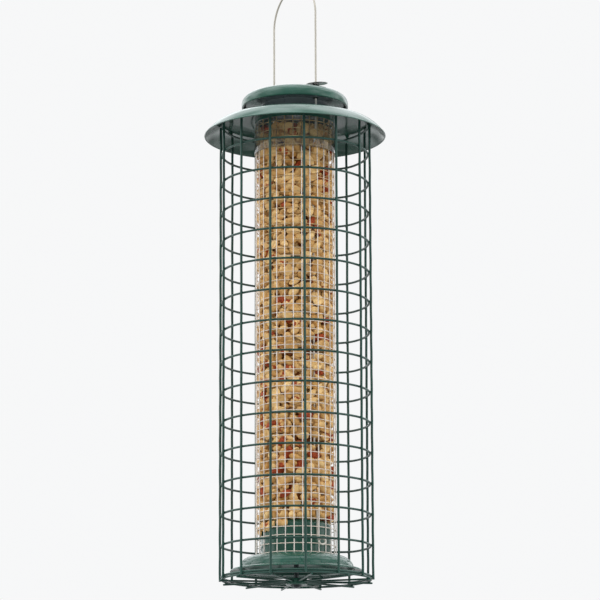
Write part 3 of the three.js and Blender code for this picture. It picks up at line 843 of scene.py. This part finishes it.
def make_peanuts():
    rng = np.random.default_rng(11)
    forms, faces = kernel_forms(rng)
    faces = np.array([f if len(f) == 4 else [*f, -1] for f in faces])
    low = extent("tube_plug")[2] + 0.2 * MM
    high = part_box("peanut_fill")[1].z + 6 * MM
    wall = extent("mesh_tube")[0] - 1.9 * MM
    place, axis, size = settle(rng, KERNELS, wall, PACKED_FROM, low, high)
    keep = np.hypot(place[:, 0], place[:, 1]) > SHOWN_FROM
    place, axis, size = place[keep], axis[keep], size[keep]
    heap = settle(np.random.default_rng(5), HEAP, HEAP_RADIUS, 0, high - HEAP_DEPTH, high)
    place, axis, size = (np.concatenate(pair) for pair in zip((place, axis, size), heap))
    kinds = rng.choice(list(SHARES), len(place), p=list(SHARES.values()))

    # Loose halves that have slipped between the plug and the mesh.
    loose = []
    r = (extent("tube_plug")[0] + wall) / 2 + 0.2 * MM
    for i in range(LOOSE):
        angle = LOOSE_FROM - math.radians(rng.uniform(12, 84))
        fallen = (LOOSE_FROM - angle) / math.radians(84)
        z = low - 3.2 * MM - rng.uniform(0, 1.0) * 8.5 * MM * fallen
        loose.append((np.array([*polar(r, angle), z]), angle))

    pieces_at = []
    for p, a, s, kind in zip(place, axis, size, kinds):
        radial = np.array([p[0], p[1], 0.0])
        radial /= np.linalg.norm(radial)
        third = radial - a * np.dot(a, radial)
        third /= max(np.linalg.norm(third), 1e-6)
        roll = rng.normal(0, 0.5) + (math.pi if kind == "half" and rng.random() < 0.45 else 0)
        second = np.cross(third, a)
        up = third * math.cos(roll) + second * math.sin(roll)
        pieces_at.append((p, a, np.cross(up, a), up, kind, s))
    for p, angle in loose:
        radial = np.array([*polar(1, angle), 0.0])
        rise = np.array([0, 0, math.sin(rng.normal(0, 0.5))])
        a = np.cross([0, 0, 1.0], radial) * math.cos(0.5) + rise
        a /= np.linalg.norm(a)
        pieces_at.append((p, a, np.cross(radial, a), radial, "thin", 0.92))

    layers = [[] for _ in range(LAYERS)]
    for p, a, b, c, kind, s in pieces_at:
        if kind == "thin":
            form = forms["half"][0]
        else:
            form = forms[kind][rng.integers(len(forms[kind]))]
        points = form * np.array(SEMI_AXES[kind]) * MM * s
        points = p + points @ np.stack([a, b, c])
        out = np.hypot(points[:, 0], points[:, 1])
        limit = np.minimum(1, (wall + 0.1 * MM) / out)
        points[:, :2] *= limit[:, None]
        tone = rng.beta(1.6, 1.9)
        if kind == "whole" and rng.random() < SKINNED:
            skin = 1.0
        else:
            skin = 0.5 if rng.random() < TORN else 0.0
        layer = min(LAYERS - 1, max(0, int(LAYERS * (p[2] - low) / (high - low))))
        layers[layer].append((points, tone, skin))
    for i, group in enumerate(layers):
        points = np.concatenate([g[0] for g in group])
        step = len(group[0][0])
        every = []
        for k in range(len(group)):
            for f in faces:
                every.append([v + k * step for v in f if v >= 0])
        data = bpy.data.meshes.new(f"kernels_{i + 1}")
        data.from_pydata(points.tolist(), [], every)
        for name, column in (("tone", 1), ("skin", 2)):
            values = np.repeat([g[column] for g in group], step).astype(np.float32)
            data.attributes.new(name, "FLOAT", "POINT").data.foreach_set("value", values)
        nodes = ["peanut_fill"] if i == 0 else []
        piece(f"kernels_{i + 1}", data, BODY, PEANUT, nodes, 60)

    # The mass behind the kernels, coloured near-black as painted shade in the gaps between them.
    top = high - CORE_BELOW
    rough = [(CORE_RADIUS + 1.4 * MM * math.sin(z * 1900), z) for z in np.arange(low, top, 3.2 * MM)]
    core = lathe([(0, low), *rough, (0, top)], 72)
    piece("nut_core", core, BODY, SHADED_NUT_CORE)


# ---- Roof and collar ----
def make_roof():
    radius, low, high = extent("roof_baffle")
    flat = 64 * MM
    fall_power = 2.5
    collar_outer = 42.8 * MM
    half = SHEET / 2
    bead = 0.6 * MM
    out = np.linspace(0, 1, 32)
    fall = high - half - (low + bead)
    line = [(collar_outer + 0.25 * MM, high - half), (flat - 8 * MM, high - half)]
    line += [(flat + (radius - bead - flat) * t, high - half - fall * t ** fall_power) for t in out]
    shape = Shape().add(*lathe(section(line), 192))
    rolled = [(radius - bead + bead * math.cos(t), low + bead + bead * math.sin(t))
              for t in around(12)]
    shape.add(*lathe(rolled, 192))
    piece("roof", shape, BODY, SHEET_GREEN, ["roof_baffle"])

    flange_z = high + 0.3 * MM + half
    radius, low, high = extent("tube_collar")
    mid = 42.0 * MM + half
    neck = rounded([
        (mid, low), (mid, high - 1.4 * MM), (mid + 0.55 * MM, high - 0.7 * MM), (mid, high - half),
    ], 0.4 * MM, 4)
    shape = Shape().add(*lathe(section(neck)))
    flange = rounded([
        (mid, flange_z + 1.6 * MM), (mid + 0.5 * MM, flange_z), (radius - 0.4 * MM, flange_z),
    ], 0.8 * MM, 5)
    shape.add(*lathe(section(flange)))
    piece("collar", shape, BODY, SHEET_GREEN, ["tube_collar"])


# ---- Lid ----
LEG_BORE = 1.45 * MM  # radius of the holes that the hanging wire's legs run in


def make_cap():
    radius, low, high = extent("lid_dome")
    crown, shoulder = 300 * MM, 46.5 * MM
    half = SHEET / 2
    dome = [(r, high - half - r * r / (2 * crown)) for r in np.linspace(0, shoulder, 12)]
    skirt = low + 4 * MM
    across = radius - shoulder - half
    line = dome + quarter(shoulder, skirt, across, dome[-1][1] - skirt, 12)[1:]
    hem = 0.7 * MM
    curl = [(radius - half - hem + hem * math.cos(t), low + 1.1 * MM - hem * math.sin(t))
            for t in np.linspace(0, math.pi * 1.15, 9)]
    cap = lathe(covering(line + curl), 160)
    piece("lid_cap", cap, LID, SHEET_GREEN, ["lid_dome"])


def make_liner():
    radius, low, high = extent("lid_liner")
    half = SHEET / 2
    plug = 35.5 * MM
    line = rounded([
        (0, low + half), (plug - 2 * MM, low + half), (plug - half, low + 2.2 * MM),
        (plug - half, high - half), (radius - 0.4 * MM, high - half),
    ], 1.2 * MM, 5)
    liner = lathe(covering(line), 128)
    piece("liner", liner, LID, LINER_GREEN, ["lid_liner"])


def make_guide(name):
    node = f"lid_guide_{name}"
    low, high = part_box(node)
    c = centre(node)
    neck, flange = 2.6 * MM, (high.x - low.x) / 2
    flange_top = high.z - 2 * MM
    flange_low = flange_top - 1 * MM
    outline = rounded([
        (LEG_BORE, low.z), (neck, low.z), (neck, flange_low), (flange, flange_low),
        (flange, flange_top), (neck, flange_top), (neck, high.z), (LEG_BORE, high.z),
    ], 0.2 * MM, 3, closed=True)
    guide = lathe(outline, 48, (c.x, c.y))
    piece(f"guide_{name}", guide, LID, PLASTIC, [node])


def make_bush():
    low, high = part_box("lock_stem")
    c = centre("lock_stem")
    outer = (high.x - low.x) / 2
    outline = rounded([
        (LEG_BORE, low.z), (outer, low.z), (outer, high.z - 0.3 * MM),
        (outer - 0.4 * MM, high.z), (LEG_BORE, high.z),
    ], 0.2 * MM, 3, closed=True)
    bush = lathe(outline, 48, (c.x, c.y))
    piece("bush", bush, LID, PLASTIC, ["lock_stem"])


def make_lock():
    """The spring plate, an oval with a raised lip round its hole, tilted on an edge of the bush."""
    length, across, shift, thickness, hole = 11.3 * MM, 7 * MM, 1.2 * MM, 1 * MM, 2.1 * MM
    turned, tilt = math.radians(56), math.radians(3.5)
    foot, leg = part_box("lock_stem"), centre("lock_stem")
    edge, seat = -(foot[1].x - foot[0].x) / 2, foot[1].z + 0.3 * MM
    rings, sides = 16, 72
    turn = around(sides)
    rows = []
    for upper in (True, False):
        for i in range(rings + 1):
            t = i / rings if upper else 1 - i / rings
            worn = 0.15 * MM * max(0, (t - 0.93) / 0.07) ** 2
            lip = 0.18 * MM * math.exp(-((t - 0.14) / 0.1) ** 2)
            height = thickness - 0.2 * MM - worn + lip if upper else worn
            rows.append([(shift * t + (hole * (1 - t) + length * t) * math.cos(a),
                          (hole * (1 - t) + across * t) * math.sin(a), height) for a in turn])
    along, side, raised = np.array(rows).reshape(-1, 3).T
    away = along - edge
    along = edge + away * math.cos(tilt) - raised * math.sin(tilt)
    height = seat + away * math.sin(tilt) + raised * math.cos(tilt)
    points = np.stack([leg.x + along * math.cos(turned) - side * math.sin(turned),
                       leg.y + along * math.sin(turned) + side * math.cos(turned), height], 1)
    plate = points, grid(len(rows), sides, closed=True)
    piece("plate", plate, LOCK, STEEL, ["lock_plate"], 40)


# ---- Hanging wire ----
def bail_end():
    """The front end, from the tip of its curl outside the mesh to the foot of the leg."""
    exit_z = RING_Z + 34 * MM
    outside = 44.65 * MM
    curl = []
    for t in np.linspace(0, 1, 22):
        angle = math.radians(-180 + 308 * t)
        curl.append((outside + 1.2 * MM * (1 - t), 1.1 * MM + 4.3 * MM * math.cos(angle),
                     exit_z - 1.5 * MM + 3.2 * MM * math.sin(angle)))
    leg = LEG_X - 0.35 * MM
    way_in = spline([
        curl[-1], (outside - 1.2 * MM, 0, exit_z + 0.5 * MM), (41.3 * MM, 0, exit_z + 0.7 * MM),
        (leg + 0.5 * MM, 0, exit_z + 2 * MM), (leg, 0, exit_z + 4.2 * MM), (leg, 0, exit_z + 14 * MM),
    ], 5)
    return np.array([*curl[:-1], *way_in])


def leg_bow(t):
    """How far the legs lie in among the nuts, from 0 at their foot and top to 1 between."""
    return smooth(min(1, t / 0.13)) * smooth(min(1, (1 - t) / 0.13))


def make_bail():
    gauge = 2.1 * MM
    front = bail_end()
    rear = front * [-1, -1, 1]
    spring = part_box("bail_wire")[1].z - gauge / 2 - LEG_X
    foot, guide = front[-1][2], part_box("lid_liner")[0].z
    buried = 5.5 * MM
    leg = [(LEG_X - 0.35 * MM * (1 - t) - buried * leg_bow(t), 0, foot + (guide - foot) * t)
           for t in np.linspace(0.02, 1, 48)]
    free = [(LEG_X, 0, guide + (spring - guide) * t) for t in np.linspace(0.1, 0.9, 8)]
    arch = [(LEG_X * math.cos(t), 0, spring + LEG_X * math.sin(t))
            for t in np.linspace(0, math.pi, 48)]
    side = np.array([*leg, *free])
    other = (side * [-1, 1, 1])[::-1]
    route = np.array([*front, *side, *arch, *other, *rear[::-1]])
    wire = tube(route, gauge, 14)
    piece("hanging_wire", wire, BODY, GALVANISED_BAIL, ["bail_wire"], 50)


make_cage()
make_cage_floor()
make_bell()
make_plug()
make_bolt()
make_nut()
make_mesh_tube()
make_clear_sleeve()
make_peanuts()
make_roof()
make_cap()
make_liner()
make_guide("front")
make_guide("rear")
make_bush()
make_lock()
make_bail()


# ---- Camera, light and surroundings ----
def look():
    away = Vector((math.sin(AZIMUTH), -math.cos(AZIMUTH), 0))
    right = Vector((math.cos(AZIMUTH), math.sin(AZIMUTH), 0))
    ahead = -away * math.cos(YAW) + right * math.sin(YAW)
    right = Vector((ahead.y, -ahead.x, 0))
    forward = ahead * math.cos(PITCH) + Vector((0, 0, math.sin(PITCH)))
    up = right.cross(forward)
    c, s = math.cos(ROLL), math.sin(ROLL)
    up, right = up * c + right * s, right * c - up * s
    camera = bpy.data.cameras.new("camera")
    camera.lens, camera.sensor_width = LENS, 36
    camera.clip_start, camera.clip_end = 0.05, 50
    obj = bpy.data.objects.new("camera", camera)
    turn = Matrix((right, up, -forward)).transposed().to_4x4()
    place = away * DISTANCE + Vector((0, 0, RING_Z - BELOW_FLOOR))
    obj.matrix_world = Matrix.Translation(place) @ turn
    bpy.context.scene.collection.objects.link(obj)
    bpy.context.scene.camera = obj


def area_light(name, place, target, size, power, colour):
    """A large soft light that isn't mirrored in the glossy surfaces."""
    light = bpy.data.lights.new(name, "AREA")
    light.shape, light.size, light.energy, light.color = "DISK", size, power, colour
    obj = bpy.data.objects.new(name, light)
    obj.location = place
    obj.rotation_euler = (Vector(target) - Vector(place)).to_track_quat("-Z", "Y").to_euler()
    obj.visible_glossy = obj.visible_camera = False
    bpy.context.scene.collection.objects.link(obj)


def sky():
    """A patchy sky, brighter overhead and dim on the side of the camera."""
    world = bpy.data.worlds.new("soft_sky")
    bpy.context.scene.world = world
    world.use_nodes = True
    nodes, links = world.node_tree.nodes, world.node_tree.links
    background, output = nodes["Background"], nodes["World Output"]

    def ranged(source, **settings):
        node = nodes.new("ShaderNodeMapRange")
        for key, value in settings.items():
            node.inputs[key.replace("_", " ")].default_value = value
        links.new(source, node.inputs["Value"])
        return node.outputs["Result"]

    place = nodes.new("ShaderNodeTexCoord").outputs["Generated"]
    split = nodes.new("ShaderNodeSeparateXYZ")
    links.new(place, split.inputs["Vector"])
    colours = nodes.new("ShaderNodeValToRGB")
    stops = [(0.0, (0.70, 0.72, 0.74)), (0.42, (0.84, 0.87, 0.88)), (0.5, (0.95, 0.98, 0.98)),
             (0.62, (1.15, 1.19, 1.21)), (1.0, (1.45, 1.49, 1.53))]
    while len(colours.color_ramp.elements) < len(stops):
        colours.color_ramp.elements.new(0.5)
    for element, (at, colour) in zip(colours.color_ramp.elements, stops):
        element.position, element.color = at, (*colour, 1)
    links.new(ranged(split.outputs["Z"], From_Min=-1.0), colours.inputs["Fac"])
    toward = nodes.new("ShaderNodeVectorMath")
    toward.operation = "DOT_PRODUCT"
    toward.inputs[1].default_value = (math.sin(AZIMUTH), -math.cos(AZIMUTH), -0.25)
    links.new(place, toward.inputs[0])
    dim = ranged(toward.outputs["Value"], From_Min=0.3, From_Max=0.85, To_Min=1.0, To_Max=0.28)
    clouds = nodes.new("ShaderNodeTexNoise")
    clouds.inputs["Scale"].default_value = 2.3
    clouds.inputs["Detail"].default_value = 1.5
    links.new(place, clouds.inputs["Vector"])
    patchy = ranged(clouds.outputs["Fac"], From_Min=0.38, From_Max=0.62, To_Min=0.4, To_Max=1.6)
    strength = nodes.new("ShaderNodeMath")
    strength.operation = "MULTIPLY"
    links.new(dim, strength.inputs[0])
    links.new(patchy, strength.inputs[1])
    links.new(strength.outputs["Value"], background.inputs["Strength"])
    links.new(colours.outputs["Color"], background.inputs["Color"])

    seen = nodes.new("ShaderNodeBackground")
    seen.inputs["Color"].default_value = (0.93, 0.935, 0.94, 1)
    direct = nodes.new("ShaderNodeLightPath")
    mix = nodes.new("ShaderNodeMixShader")
    links.new(direct.outputs["Is Camera Ray"], mix.inputs["Fac"])
    links.new(background.outputs["Background"], mix.inputs[1])
    links.new(seen.outputs["Background"], mix.inputs[2])
    links.new(mix.outputs["Shader"], output.inputs["Surface"])


def studio_floor():
    data = bpy.data.meshes.new("studio_floor")
    level, reach, corners = CAD_BOX[0][2] - 1.4, 12.0, 64
    points = [(*polar(reach, t), level) for t in around(corners)]
    data.from_pydata(points, [], [list(range(corners))])
    paint = Finish("floor_paint")
    tone = paint.ramp(paint.noise(3, 3), 0, 1)
    paint.colour(paint.mix(tone, (0.30, 0.305, 0.31), (0.33, 0.335, 0.34)))
    paint.roughness(paint.ramp(paint.noise(20, 3), 0.7, 0.85))
    data.materials.append(paint.material)
    obj = bpy.data.objects.new("studio_floor", data)
    obj.visible_diffuse = obj.visible_glossy = False
    bpy.context.scene.collection.objects.link(obj)


def surroundings():
    sky()
    studio_floor()
    area_light("left", (-0.9, -4.0, 1.6), (0, 0, -0.35), 2.6, 100, (1.0, 0.96, 0.90))
    area_light("right", (3.8, 1.2, 1.8), (0, 0, -0.35), 2.6, 100, (1.0, 0.99, 0.97))
    area_light("low", (2.3, -1.6, -1.1), (0, 0, -0.25), 1.2, 22, (1.0, 0.98, 0.94))


look()
surroundings()
bpy.context.scene.view_settings.view_transform = "Standard"
